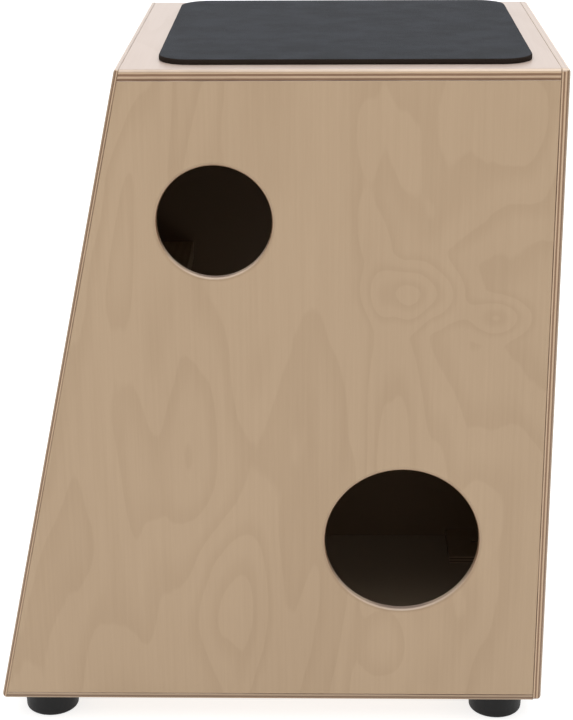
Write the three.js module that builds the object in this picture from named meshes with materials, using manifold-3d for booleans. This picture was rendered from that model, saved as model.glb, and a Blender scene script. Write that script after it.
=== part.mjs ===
// A cajon with a sloping playing panel: a box drum of glued plywood that the player sits on.
//
// Millimetres, +Z up. The origin is on the floor, under the middle of the box.
// -X is the player's front, where the thin playing panel leans back as it rises; +X is the upright back.
// -Y is the side panel with the two sound ports; +Y is the plain side panel.
//
// Shell pieces are modelled in the body frame, whose z = 0 is the underside of the bottom panel.

import * as THREE from "three";
import { mergeVertices } from "three/addons/utils/BufferGeometryUtils.js";
import Module from "manifold-3d";

// ---------------------------------------------------------------- driving dimensions

const BODY_HEIGHT = 470; // wooden body, without feet and pad
const BOTTOM_DEPTH = 400; // front to back at the bottom
const TOP_DEPTH = 298; // front to back at the top
const BODY_WIDTH = 275; // side to side

const SHELL_PLY = 6; // sides and back
const TOP_PLY = 7.5; // the seat board is thicker
const BOTTOM_PLY = 4.5; // the bottom is thinner
const PLAYING_PLY = 3; // the struck panel is thin
const GLUE_LINE = 0.3; // gap between pieces that touch

const EDGE_ROUND = 3; // the assembled body's outer edges, routed round
const TOE_ROUND = 5; // the bottom edge of the playing panel
const PLAYING_EDGE_ROUND = 2.5; // the playing panel's long edges
const CRISP_EDGE = 1.6; // the edge where the playing panel meets the top

const SMALL_PORT = { radius: 39, fromBack: 234.5, height: 366.3 };
const LARGE_PORT = { radius: 55, fromBack: 104.7, height: 129.8 };
const PORT_RIM = 1.8; // round-over of a port's mouth

const PAD = { length: 250, width: 245, thick: 3.5, corner: 22, centreX: 53.5 };

const FOOT_HEIGHT = 22;
const FOOT_RADIUS = 20.4;
const FOOT_INSET = { side: 30, front: 33, rear: 31 }; // foot centre from the body's faces
const FOOT_SHAPE = { taper: 0.8, lowRound: 3, topEase: 1, mouthEase: 0.6 };
const WASHER_TOP = 12.7; // height above the floor of the seat for the washer, inside the foot

const CORNER_PLATE = { length: 48, width: 54, thick: 6 }; // glued on the bottom, over each foot
const BATTEN = 14; // square strips behind the playing panel

const BEAM = { front: -119, depth: 50, top: 274, thick: 15 }; // carries the snares
const STRAND = {
  radius: 1.1,
  pitch: 4,
  count: 10,
  height: 133,
  belowMiddle: 4, // its lower end, under the middle of the plate
  risePart: 0.3, // how far up it still stands upright
  riseLean: 0.2,
  bendPart: 0.58, // how far up it comes to the playing panel
  bendSlack: 0.6, // what is left to the panel there
  gap: 0.1, // what is left to the panel at the tip
};
const SNARE_PLATE = { width: 60, height: 12, thick: 1.2, endToScrew: 4 };
const SNARE_CENTRE = 52; // middle of each snare set from the centre plane

const EDGE_TO_SCREW = 14; // playing panel screws, from the panel's top and bottom edges
const SCREWS_ACROSS = 5; // along the top, and along the bottom
const SCREWS_UP = 4; // along each side, between the corner ones
const PANEL_SCREW = { head: 3.5, lip: 0.3, shank: 1.6, cone: 2.2, tip: 1.5, length: 16 };
const SNARE_SCREW = { head: 2.9, headHeight: 1.8, crown: 1.2, shank: 1.5, tip: 2, length: 13 };
const FOOT_SCREW = { head: 4.4, headHeight: 3.2, crown: 1.2, shank: 2.2, tip: 2, length: 20 };
const WASHER = { radius: 6, hole: 2.6, thick: 1.2 };
const CLEARANCE = 0.3; // all round a screw in its hole

const PORT_SIDES = 48;
const FOOT_SIDES = 24;
const SCREW_SIDES = 8;
const STRAND_STEPS = 5;

// ---------------------------------------------------------------- derived places

const HALF_WIDTH = BODY_WIDTH / 2;
const BACK_X = BOTTOM_DEPTH / 2;
const FRONT_X = -BOTTOM_DEPTH / 2;
const SLOPE = (BOTTOM_DEPTH - TOP_DEPTH) / BODY_HEIGHT;
const LEAN = Math.atan(SLOPE);
const PLAYING_LENGTH = BODY_HEIGHT / Math.cos(LEAN);
const MARGIN = 20; // how far a cutting block reaches past what it cuts

const PLAYING_BACK = PLAYING_PLY + GLUE_LINE; // where pieces behind the playing panel begin
const INNER_BACK_X = BACK_X - SHELL_PLY - GLUE_LINE;
const INNER_BOTTOM = BOTTOM_PLY + GLUE_LINE;
const INNER_TOP = BODY_HEIGHT - TOP_PLY - GLUE_LINE;
const INNER_SIDE = HALF_WIDTH - SHELL_PLY - GLUE_LINE;
const BATTEN_BACK = PLAYING_BACK + BATTEN;

// x of the plane parallel to the playing face, `inset` mm inside it, at height z of the body frame.
function frontX(z, inset) {
  return FRONT_X + z * SLOPE + inset / Math.cos(LEAN);
}

// ---------------------------------------------------------------- materials

function material(color, roughness, metalness = 0) {
  return new THREE.MeshStandardMaterial({ color, roughness, metalness });
}

const birch = () => material(0xd8b98f, 0.55);
const seatBirch = () => material(0xe2cdb4, 0.5);
const spruce = () => material(0xc9a77c, 0.7);
const foam = () => material(0x3b3c40, 0.9);
const rubber = () => material(0x1d1d1f, 0.75);
const zincSteel = () => material(0xa9abad, 0.35, 1);
const blackSteel = () => material(0x2a2a2c, 0.4, 1);
const springSteel = () => material(0xc4c6c8, 0.28, 1);

// ---------------------------------------------------------------- solids

const wasm = await Module();
wasm.setup();

function toSolid(geometry) {
  const bare = geometry.clone();
  bare.deleteAttribute("normal");
  bare.deleteAttribute("uv");
  const merged = mergeVertices(bare, 1e-4);
  const vertProperties = new Float32Array(merged.attributes.position.array);
  const triVerts = new Uint32Array(merged.index.array);
  return new wasm.Manifold(new wasm.Mesh({ numProp: 3, vertProperties, triVerts }));
}

function toGeometry(solid) {
  const mesh = solid.getMesh();
  const geometry = new THREE.BufferGeometry();
  geometry.setAttribute("position", new THREE.BufferAttribute(mesh.vertProperties, 3));
  geometry.setIndex(new THREE.BufferAttribute(mesh.triVerts, 1));
  geometry.computeVertexNormals();
  return geometry;
}

function namedMesh(name, geometry, finish) {
  const mesh = new THREE.Mesh(geometry, finish);
  mesh.name = name;
  return mesh;
}

function subtractAll(solid, cutters) {
  return cutters.reduce((left, cutter) => left.subtract(cutter), solid);
}

// An outline in the XZ plane as a THREE.Shape, corner by corner as [x, z, cut]. A corner is rounded off
// by a curve that starts and ends `cut` mm from it.
function outline(corners) {
  const shape = new THREE.Shape();
  corners.forEach(([x, z, cut = 0], i) => {
    const here = new THREE.Vector2(x, z);
    const before = new THREE.Vector2(...corners.at(i - 1).slice(0, 2));
    const after = new THREE.Vector2(...corners[(i + 1) % corners.length].slice(0, 2));
    const start = here.clone().add(before.sub(here).setLength(cut));
    const end = here.clone().add(after.sub(here).setLength(cut));
    if (i === 0) shape.moveTo(start.x, start.y);
    else shape.lineTo(start.x, start.y);
    if (cut > 0) shape.quadraticCurveTo(x, z, end.x, end.y);
  });
  shape.closePath();
  return shape;
}

// An XZ outline extruded along Y, from yLow to yHigh.
function prism(corners, yLow, yHigh) {
  const geometry = new THREE.ExtrudeGeometry(outline(corners), {
    depth: yHigh - yLow,
    curveSegments: 4,
    bevelEnabled: false,
  });
  geometry.rotateX(Math.PI / 2);
  geometry.translate(0, yHigh, 0);
  return geometry;
}

// A cuboid between two corners.
function block([x0, y0, z0], [x1, y1, z1]) {
  const geometry = new THREE.BoxGeometry(x1 - x0, y1 - y0, z1 - z0);
  geometry.translate((x0 + x1) / 2, (y0 + y1) / 2, (z0 + z1) / 2);
  return geometry;
}

// A profile of [radius, height] points turned round the Z axis.
function turned(points, sides) {
  const geometry = new THREE.LatheGeometry(
    points.map(([radius, height]) => new THREE.Vector2(radius, height)),
    sides,
  );
  geometry.rotateX(Math.PI / 2);
  return geometry;
}

function rod(radius, low, high, sides = SCREW_SIDES) {
  return turned([[0, low], [radius, low], [radius, high], [0, high]], sides);
}

// Points of a turned profile on a circle round a centre, from one angle to another.
function arc([centreR, centreZ], radius, fromDegrees, toDegrees, steps) {
  return Array.from({ length: steps + 1 }, (_, i) => {
    const angle = THREE.MathUtils.degToRad(fromDegrees + ((toDegrees - fromDegrees) * i) / steps);
    return [centreR + radius * Math.cos(angle), centreZ + radius * Math.sin(angle)];
  });
}

// ---------------------------------------------------------------- frames

// Local +X points out of the playing face, +Z runs up it, and z = 0 is its bottom edge.
const playingFace = new THREE.Matrix4()
  .makeTranslation(FRONT_X, 0, 0)
  .multiply(new THREE.Matrix4().makeRotationY(LEAN))
  .multiply(new THREE.Matrix4().makeRotationZ(Math.PI));

// A turned piece whose axis points out of the playing face, at width y and distance `up` the face.
function onPlayingFace(geometry, y, up) {
  const place = playingFace.clone();
  place.multiply(new THREE.Matrix4().makeTranslation(0, -y, up));
  place.multiply(new THREE.Matrix4().makeRotationY(Math.PI / 2));
  return geometry.clone().applyMatrix4(place);
}

// ---------------------------------------------------------------- places of repeated pieces

function spread(low, high, count) {
  return Array.from({ length: count }, (_, i) => low + ((high - low) * i) / (count - 1));
}

const screwColumn = INNER_SIDE - BATTEN / 2;
const screwRows = spread(EDGE_TO_SCREW, PLAYING_LENGTH - EDGE_TO_SCREW, SCREWS_UP + 2);
const sideRows = screwRows.slice(1, -1);
const acrossPlaces = spread(-screwColumn, screwColumn, SCREWS_ACROSS);
const playingScrews = [
  ...acrossPlaces.map((y) => ({ y, up: screwRows.at(-1) })),
  ...acrossPlaces.map((y) => ({ y, up: screwRows[0] })),
  ...sideRows.map((up) => ({ y: -screwColumn, up })),
  ...sideRows.map((up) => ({ y: screwColumn, up })),
];

const feetPlaces = [
  { name: "front_port_side", end: -1, side: -1 },
  { name: "front_plain_side", end: -1, side: 1 },
  { name: "rear_port_side", end: 1, side: -1 },
  { name: "rear_plain_side", end: 1, side: 1 },
].map((place) => ({
  ...place,
  x: place.end < 0 ? FRONT_X + FOOT_INSET.front : BACK_X - FOOT_INSET.rear,
  y: place.side * (HALF_WIDTH - FOOT_INSET.side),
}));

const snareSides = [
  { name: "port_side", y: -SNARE_CENTRE },
  { name: "plain_side", y: SNARE_CENTRE },
];
const snareScrewOffset = SNARE_PLATE.width / 2 - SNARE_PLATE.endToScrew;
const snareScrewPlaces = snareSides.flatMap(({ name, y }) => [
  { name: `snare_screw_${name}_1`, y: y - snareScrewOffset },
  { name: `snare_screw_${name}_2`, y: y + snareScrewOffset },
]);
const snarePlateMiddle = BEAM.top - BEAM.thick / 2;

// ---------------------------------------------------------------- fasteners

function playingScrewProfile(grow) {
  const { head, lip, shank, cone, tip, length } = PANEL_SCREW;
  return [
    [0, -length - grow],
    [shank + grow, -length + tip - grow],
    [shank + grow, -cone - lip],
    [head + grow, -lip],
    [head + grow, grow > 0 ? MARGIN : 0],
    [0, grow > 0 ? MARGIN : 0],
  ];
}

const playingScrew = turned(playingScrewProfile(0), SCREW_SIDES);
const playingScrewHole = turned(playingScrewProfile(CLEARANCE), SCREW_SIDES);

function playingScrewCutters() {
  return playingScrews.map(({ y, up }) => toSolid(onPlayingFace(playingScrewHole, y, up)));
}

// A pan-head screw standing on its head: the shank points up, and z = 0 is under the head.
function panHeadScrew({ head, headHeight, crown, shank, tip, length }) {
  return turned(
    [
      [0, -headHeight],
      ...arc([head - crown, crown - headHeight], crown, -90, 0, 2),
      [head, 0],
      [shank, 0],
      [shank, length - tip],
      [0, length],
    ],
    SCREW_SIDES,
  );
}

// ---------------------------------------------------------------- shell panels

// The outside of the finished body, which every shell panel is trimmed to. It is what its side view, its
// front view, its plan and its section square to the playing face have in common, each with rounded corners.
function bodyEnvelope() {
  const sideView = prism(
    [
      [FRONT_X, 0, TOE_ROUND],
      [BACK_X, 0, EDGE_ROUND],
      [BACK_X, BODY_HEIGHT, EDGE_ROUND],
      [frontX(BODY_HEIGHT, 0), BODY_HEIGHT, CRISP_EDGE],
    ],
    -HALF_WIDTH,
    HALF_WIDTH,
  );
  const frontView = prism(
    [
      [-HALF_WIDTH, 0, EDGE_ROUND],
      [HALF_WIDTH, 0, EDGE_ROUND],
      [HALF_WIDTH, BODY_HEIGHT, EDGE_ROUND],
      [-HALF_WIDTH, BODY_HEIGHT, EDGE_ROUND],
    ],
    -BACK_X - MARGIN,
    BACK_X + MARGIN,
  ).rotateZ(Math.PI / 2);
  const plan = prism(
    [
      [FRONT_X - MARGIN, -HALF_WIDTH],
      [BACK_X, -HALF_WIDTH, EDGE_ROUND],
      [BACK_X, HALF_WIDTH, EDGE_ROUND],
      [FRONT_X - MARGIN, HALF_WIDTH],
    ],
    -BODY_HEIGHT - MARGIN,
    MARGIN,
  ).rotateX(-Math.PI / 2);
  const acrossFace = prism(
    [
      [-2 * BOTTOM_DEPTH, -HALF_WIDTH],
      [0, -HALF_WIDTH, PLAYING_EDGE_ROUND],
      [0, HALF_WIDTH, PLAYING_EDGE_ROUND],
      [-2 * BOTTOM_DEPTH, HALF_WIDTH],
    ],
    -2 * BODY_HEIGHT,
    BODY_HEIGHT,
  ).rotateX(-Math.PI / 2).applyMatrix4(playingFace);
  const [first, ...others] = [sideView, frontView, plan, acrossFace].map(toSolid);
  return others.reduce((common, view) => common.intersect(view), first);
}

const envelope = bodyEnvelope();

// The part of the body inside an XZ outline, across its whole width.
function shellPiece(corners) {
  return envelope.intersect(toSolid(prism(corners, -HALF_WIDTH - MARGIN, HALF_WIDTH + MARGIN)));
}

function topPanel() {
  const low = INNER_TOP + GLUE_LINE;
  const high = BODY_HEIGHT + MARGIN;
  return shellPiece([
    [frontX(low, PLAYING_BACK), low],
    [INNER_BACK_X, low],
    [INNER_BACK_X, high],
    [frontX(high, PLAYING_BACK), high],
  ]);
}

function bottomPanel() {
  const panel = shellPiece([
    [frontX(-MARGIN, PLAYING_BACK), -MARGIN],
    [INNER_BACK_X, -MARGIN],
    [INNER_BACK_X, BOTTOM_PLY],
    [frontX(BOTTOM_PLY, PLAYING_BACK), BOTTOM_PLY],
  ]);
  return subtractAll(panel, footScrewHoles());
}

function backPanel() {
  return shellPiece([
    [BACK_X - SHELL_PLY, -MARGIN],
    [BACK_X + MARGIN, -MARGIN],
    [BACK_X + MARGIN, BODY_HEIGHT + MARGIN],
    [BACK_X - SHELL_PLY, BODY_HEIGHT + MARGIN],
  ]);
}

function playingPanel() {
  const low = -MARGIN;
  const high = BODY_HEIGHT + MARGIN;
  const panel = shellPiece([
    [frontX(low, -MARGIN), low],
    [frontX(low, PLAYING_PLY), low],
    [frontX(high, PLAYING_PLY), high],
    [frontX(high, -MARGIN), high],
  ]);
  return subtractAll(panel, playingScrewCutters());
}

function sidePanel(side) {
  const outer = side * HALF_WIDTH;
  const inner = side * (HALF_WIDTH - SHELL_PLY);
  return toSolid(
    prism(
      [
        [frontX(INNER_BOTTOM, PLAYING_BACK), INNER_BOTTOM],
        [INNER_BACK_X, INNER_BOTTOM],
        [INNER_BACK_X, INNER_TOP],
        [frontX(INNER_TOP, PLAYING_BACK), INNER_TOP],
      ],
      Math.min(outer, inner),
      Math.max(outer, inner),
    ),
  );
}

// A round port through the -Y side panel, with a rounded mouth.
function portCutter({ radius, fromBack, height }) {
  const rim = arc([radius + PORT_RIM, -PORT_RIM], PORT_RIM, 90, 180, 4);
  const profile = [
    [0, -MARGIN],
    [radius, -MARGIN],
    ...rim.reverse(),
    [radius + PORT_RIM, MARGIN],
    [0, MARGIN],
  ];
  const cutter = turned(profile, PORT_SIDES);
  cutter.rotateX(Math.PI / 2);
  cutter.translate(BACK_X - fromBack, -HALF_WIDTH, height);
  return toSolid(cutter);
}

function portedSidePanel() {
  return subtractAll(sidePanel(-1), [portCutter(SMALL_PORT), portCutter(LARGE_PORT)]);
}

// ---------------------------------------------------------------- inside

function footScrewHoles() {
  const underHead = WASHER_TOP - WASHER.thick - CLEARANCE;
  const top = underHead + FOOT_SCREW.length - FOOT_HEIGHT + CLEARANCE;
  return feetPlaces.map(({ x, y }) => {
    const hole = rod(FOOT_SCREW.shank + CLEARANCE, -MARGIN, top);
    return toSolid(hole.translate(x, y, 0));
  });
}

// A plywood plate that takes a foot's screw. Its edge towards the playing panel is cut to the same slope.
function cornerPlate({ end, side }) {
  const { length, width, thick } = CORNER_PLATE;
  const low = INNER_BOTTOM;
  const high = low + thick;
  const front = (z) => (end < 0 ? frontX(z, BATTEN_BACK + GLUE_LINE) : INNER_BACK_X - length);
  const back = end < 0 ? front(high) + length : INNER_BACK_X;
  const outer = side * INNER_SIDE;
  const inner = side * (INNER_SIDE - width);
  const body = prism(
    [[front(low), low], [back, low], [back, high], [front(high), high]],
    Math.min(outer, inner),
    Math.max(outer, inner),
  );
  return subtractAll(toSolid(body), footScrewHoles());
}

// A strip behind the playing panel, between two heights and two widths.
function batten(low, high, yLow, yHigh) {
  const strip = prism(
    [
      [frontX(low, PLAYING_BACK), low],
      [frontX(low, BATTEN_BACK), low],
      [frontX(high, BATTEN_BACK), high],
      [frontX(high, PLAYING_BACK), high],
    ],
    yLow,
    yHigh,
  );
  return subtractAll(toSolid(strip), playingScrewCutters());
}

function battens() {
  const between = INNER_SIDE - BATTEN - GLUE_LINE;
  return {
    batten_port_side: batten(INNER_BOTTOM, INNER_TOP, -INNER_SIDE, -INNER_SIDE + BATTEN),
    batten_plain_side: batten(INNER_BOTTOM, INNER_TOP, INNER_SIDE - BATTEN, INNER_SIDE),
    batten_top: batten(INNER_TOP - BATTEN, INNER_TOP, -between, between),
    batten_bottom: batten(INNER_BOTTOM, INNER_BOTTOM + BATTEN, -between, between),
  };
}

// Local z runs into the beam from its front face; the frame is turned so that this is +X.
function intoBeam(geometry, y) {
  const placed = geometry.clone().rotateY(Math.PI / 2);
  return placed.translate(BEAM.front, y, snarePlateMiddle);
}

function snareBeam() {
  const beam = block(
    [BEAM.front, -INNER_SIDE, BEAM.top - BEAM.thick],
    [BEAM.front + BEAM.depth, INNER_SIDE, BEAM.top],
  );
  const pilot = rod(SNARE_SCREW.shank + CLEARANCE, -MARGIN, SNARE_SCREW.length);
  return subtractAll(toSolid(beam), snareScrewPlaces.map(({ y }) => toSolid(intoBeam(pilot, y))));
}

// One snare wire: straight up from the plate, then leaning on the back of the playing panel.
function snareStrand(y) {
  const start = BEAM.front - GLUE_LINE - SNARE_PLATE.thick;
  const touch = (z) => frontX(z, PLAYING_BACK + STRAND.radius + STRAND.gap);
  const foot = snarePlateMiddle - STRAND.belowMiddle;
  const rise = foot + STRAND.height * STRAND.risePart;
  const bend = foot + STRAND.height * STRAND.bendPart;
  const tip = foot + STRAND.height;
  const route = new THREE.CatmullRomCurve3([
    new THREE.Vector3(start, y, foot),
    new THREE.Vector3(start - STRAND.riseLean, y, rise),
    new THREE.Vector3(touch(bend) + STRAND.bendSlack, y, bend),
    new THREE.Vector3(touch(tip), y, tip),
  ]);
  const section = new THREE.Shape();
  section.absarc(0, 0, STRAND.radius, 0, 2 * Math.PI);
  return new THREE.ExtrudeGeometry(section, { extrudePath: route, steps: STRAND_STEPS, curveSegments: 6 });
}

// A steel plate screwed to the beam, with a row of coiled wires soldered to it.
function snareSet({ y }) {
  const { width, height, thick } = SNARE_PLATE;
  const rear = BEAM.front - GLUE_LINE;
  const plate = toSolid(
    block(
      [rear - thick, y - width / 2, snarePlateMiddle - height / 2],
      [rear, y + width / 2, snarePlateMiddle + height / 2],
    ),
  );
  const half = ((STRAND.count - 1) * STRAND.pitch) / 2;
  const strands = spread(-half, half, STRAND.count).map((offset) => toSolid(snareStrand(y + offset)));
  const whole = strands.reduce((joined, strand) => joined.add(strand), plate);
  const hole = rod(SNARE_SCREW.shank + CLEARANCE, -MARGIN, MARGIN);
  const holes = [y - snareScrewOffset, y + snareScrewOffset].map((at) => toSolid(intoBeam(hole, at)));
  return subtractAll(whole, holes);
}

// ---------------------------------------------------------------- foot

// A slightly tapering foot, with a recess from below for the washer and the screw's head.
function rubberFoot() {
  const { taper, lowRound, topEase, mouthEase } = FOOT_SHAPE;
  const top = FOOT_HEIGHT - GLUE_LINE;
  const lowRadius = FOOT_RADIUS - taper;
  const hole = FOOT_SCREW.shank + CLEARANCE;
  const recess = WASHER.radius + 2 * CLEARANCE;
  const recessTop = WASHER_TOP + CLEARANCE;
  return turned(
    [
      [hole, recessTop],
      [recess, recessTop],
      [recess, mouthEase],
      [recess + mouthEase, 0],
      ...arc([lowRadius - lowRound, lowRound], lowRound, -90, 0, 3),
      [FOOT_RADIUS, top - topEase],
      [FOOT_RADIUS - topEase, top],
      [hole, top],
      [hole, recessTop],
    ],
    FOOT_SIDES,
  );
}

function footWasher() {
  const { radius, hole, thick } = WASHER;
  const low = WASHER_TOP - thick;
  return turned(
    [[hole, low], [radius, low], [radius, WASHER_TOP], [hole, WASHER_TOP], [hole, low]],
    FOOT_SIDES / 2,
  );
}

// The foot with its washer and screw, standing on the floor at the group's origin.
function footAssembly({ name, x, y }) {
  const group = new THREE.Group();
  const screw = panHeadScrew(FOOT_SCREW);
  screw.translate(0, 0, WASHER_TOP - WASHER.thick - CLEARANCE);
  group.add(
    namedMesh(`rubber_foot_${name}`, rubberFoot(), rubber()),
    namedMesh(`foot_washer_${name}`, footWasher(), zincSteel()),
    namedMesh(`foot_screw_${name}`, screw, zincSteel()),
  );
  group.position.set(x, y, 0);
  return group;
}

// ---------------------------------------------------------------- seat pad

function seatPad() {
  const { length, width, thick, corner, centreX } = PAD;
  const shape = new THREE.Shape();
  const [x, y] = [length / 2, width / 2];
  shape.absarc(x - corner, y - corner, corner, 0, Math.PI / 2);
  shape.absarc(-x + corner, y - corner, corner, Math.PI / 2, Math.PI);
  shape.absarc(-x + corner, -y + corner, corner, Math.PI, 1.5 * Math.PI);
  shape.absarc(x - corner, -y + corner, corner, 1.5 * Math.PI, 2 * Math.PI);
  shape.closePath();
  const geometry = new THREE.ExtrudeGeometry(shape, {
    depth: thick,
    bevelEnabled: false,
    curveSegments: 6,
  });
  return geometry.translate(centreX, 0, BODY_HEIGHT + GLUE_LINE);
}

// ---------------------------------------------------------------- assembly

const cajon = new THREE.Group();
cajon.name = "cajon";

const body = new THREE.Group();
body.position.z = FOOT_HEIGHT;
cajon.add(body);

body.add(
  namedMesh("top_panel", toGeometry(topPanel()), seatBirch()),
  namedMesh("bottom_panel", toGeometry(bottomPanel()), birch()),
  namedMesh("back_panel", toGeometry(backPanel()), birch()),
  namedMesh("playing_panel", toGeometry(playingPanel()), birch()),
  namedMesh("ported_side_panel", toGeometry(portedSidePanel()), birch()),
  namedMesh("plain_side_panel", toGeometry(sidePanel(1)), birch()),
  namedMesh("seat_pad", seatPad(), foam()),
  namedMesh("snare_beam", toGeometry(snareBeam()), spruce()),
);

for (const [name, solid] of Object.entries(battens())) {
  body.add(namedMesh(name, toGeometry(solid), spruce()));
}

for (const place of feetPlaces) {
  body.add(namedMesh(`corner_plate_${place.name}`, toGeometry(cornerPlate(place)), birch()));
  cajon.add(footAssembly(place));
}

for (const place of snareSides) {
  body.add(namedMesh(`snare_set_${place.name}`, toGeometry(snareSet(place)), springSteel()));
}

for (const { name, y } of snareScrewPlaces) {
  const screw = namedMesh(name, panHeadScrew(SNARE_SCREW), zincSteel());
  screw.rotation.y = Math.PI / 2;
  screw.position.set(BEAM.front - 2 * GLUE_LINE - SNARE_PLATE.thick, y, snarePlateMiddle);
  body.add(screw);
}

playingScrews.forEach(({ y, up }, i) => {
  const name = `playing_screw_${String(i + 1).padStart(2, "0")}`;
  body.add(namedMesh(name, onPlayingFace(playingScrew, y, up), blackSteel()));
});

export default cajon;
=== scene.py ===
import math

import bmesh
import bpy
import numpy as np
from mathutils import Matrix, Vector, noise


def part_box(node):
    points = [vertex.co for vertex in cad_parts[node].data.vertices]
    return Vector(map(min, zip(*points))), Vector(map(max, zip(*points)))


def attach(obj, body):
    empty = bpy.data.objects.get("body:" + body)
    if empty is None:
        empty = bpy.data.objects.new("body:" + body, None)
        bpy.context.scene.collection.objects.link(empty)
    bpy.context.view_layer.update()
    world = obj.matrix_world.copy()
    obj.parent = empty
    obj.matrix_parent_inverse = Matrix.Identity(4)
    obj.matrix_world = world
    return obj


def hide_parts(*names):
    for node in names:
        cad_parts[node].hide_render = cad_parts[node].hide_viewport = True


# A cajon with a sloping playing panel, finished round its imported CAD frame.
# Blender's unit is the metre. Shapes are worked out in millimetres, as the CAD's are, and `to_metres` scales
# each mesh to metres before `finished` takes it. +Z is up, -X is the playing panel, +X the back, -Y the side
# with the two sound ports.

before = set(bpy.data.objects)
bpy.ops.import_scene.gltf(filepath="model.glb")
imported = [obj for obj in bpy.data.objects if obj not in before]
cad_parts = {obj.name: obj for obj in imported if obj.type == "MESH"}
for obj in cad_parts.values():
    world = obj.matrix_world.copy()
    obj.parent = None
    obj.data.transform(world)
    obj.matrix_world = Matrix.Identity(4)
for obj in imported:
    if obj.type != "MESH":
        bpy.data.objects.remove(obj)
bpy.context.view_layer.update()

MM = 0.001

# ---- the CAD's dimensions, in millimetres

FOOT_HEIGHT = 22.0
BODY_HEIGHT = 470.0
BOTTOM_DEPTH = 400.0
TOP_DEPTH = 298.0
HALF_WIDTH = 137.5
BACK_X = BOTTOM_DEPTH / 2
FRONT_X = -BOTTOM_DEPTH / 2
BOTTOM_Z = FOOT_HEIGHT
TOP_Z = FOOT_HEIGHT + BODY_HEIGHT

SHELL_PLY = 6.0
TOP_PLY = 7.5
BOTTOM_PLY = 4.5
PLAYING_PLY = 3.0
GLUE_LINE = 0.3

SLOPE = (BOTTOM_DEPTH - TOP_DEPTH) / BODY_HEIGHT
LEAN = math.atan(SLOPE)
PLAYING_LENGTH = BODY_HEIGHT / math.cos(LEAN)

SMALL_PORT = {"radius": 39.0, "x": -34.5, "z": 366.3 + FOOT_HEIGHT}
LARGE_PORT = {"radius": 55.0, "x": 95.3, "z": 129.8 + FOOT_HEIGHT}

PAD = {"length": 250.0, "width": 245.0, "thick": 3.5, "corner": 22.0, "x": 53.5}

FOOT_RADIUS = 20.4
BATTEN = 14.0
BEAM = {"front": -119.0, "top": 274.0 + FOOT_HEIGHT, "thick": 15.0}
SNARE_PLATE = {"width": 60.0, "height": 12.0, "thick": 1.2, "end_to_screw": 4.0}
SNARE_CENTRE = 52.0
STRANDS = {"count": 10, "pitch": 4.0, "height": 133.0, "radius": 1.1, "below_middle": 4.0}
RISE_PART = 0.3  # how far up a strand still stands upright
RISE_LEAN = 0.2
BEND_PART = 0.58  # how far up it comes to the playing panel
BEND_SLACK = 0.6
TIP_GAP = 0.1
PANEL_SCREW = {"head": 3.5, "shank": 1.6, "length": 16.0}
SNARE_SCREW = {"head": 2.9, "head_height": 1.8, "shank": 1.5, "length": 13.0}
FOOT_SCREW = {"head": 4.4, "head_height": 3.2, "shank": 2.2, "length": 20.0}
SCREW_CROWN = 1.2  # rounds a pan head
SCREW_TIP = 2.0
CLEARANCE = 0.3  # all round a screw in its hole
WASHER_TOP = 12.7
WASHER_THICK = 1.2

# ---- finish, in millimetres

OUTER_EASE = 3.0  # the body's outer edges
BOTTOM_EASE = 2.2  # the bottom's long edges
FACE_EASE = 2.4  # the playing panel's long edges
TOE_EASE = 2.6  # its bottom edge
TOE_LIFT = 1.5  # and how much higher that edge is outside
TOE_TUCK = 0.25  # and inside, where the rounding runs on into the bottom panel
CRISP_EASE = 1.2  # its top edge
SIDE_EASE = 0.7  # the side panels' edges, beside the joints
SEAM_EASE = 0.42  # where two panels meet
INSIDE_EASE = 0.25
PORT_RIM = 2.8  # rounds the ports' mouths a little more than the CAD does
CONTACT = 0.02  # left between panels that are glued together
HOLE_BORDER = 5.0  # a strip left plain round a face with holes in it
HOLE_SEGMENTS = 144
SCREW_HOLE_SEGMENTS = 32

X_AXIS = Vector((1, 0, 0))
Y_AXIS = Vector((0, 1, 0))
Z_AXIS = Vector((0, 0, 1))
UP_FACE = Vector((math.sin(LEAN), 0, math.cos(LEAN)))  # up the playing panel
OUT_OF_FACE = Vector((-math.cos(LEAN), 0, math.sin(LEAN)))


def front_x(z, inset):
    """x of the plane that lies `inset` inside the playing face, at height z above the floor."""
    return FRONT_X + (z - BOTTOM_Z) * SLOPE + inset / math.cos(LEAN)


# ---- node trees


class NodeTree:
    """Short calls that add nodes to a tree."""

    def __init__(self, tree):
        self.nodes = tree.nodes
        self.links = tree.links

    def feed(self, socket, value):
        if isinstance(value, bpy.types.NodeSocket):
            self.links.new(value, socket)
        else:
            socket.default_value = value

    def math(self, operation, *values):
        node = self.nodes.new("ShaderNodeMath")
        node.operation = operation
        for socket, value in zip(node.inputs, values):
            self.feed(socket, value)
        return node.outputs[0]

    def add(self, first, second):
        return self.math("ADD", first, second)

    def subtract(self, first, second):
        return self.math("SUBTRACT", first, second)

    def multiply(self, first, second):
        return self.math("MULTIPLY", first, second)


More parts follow.
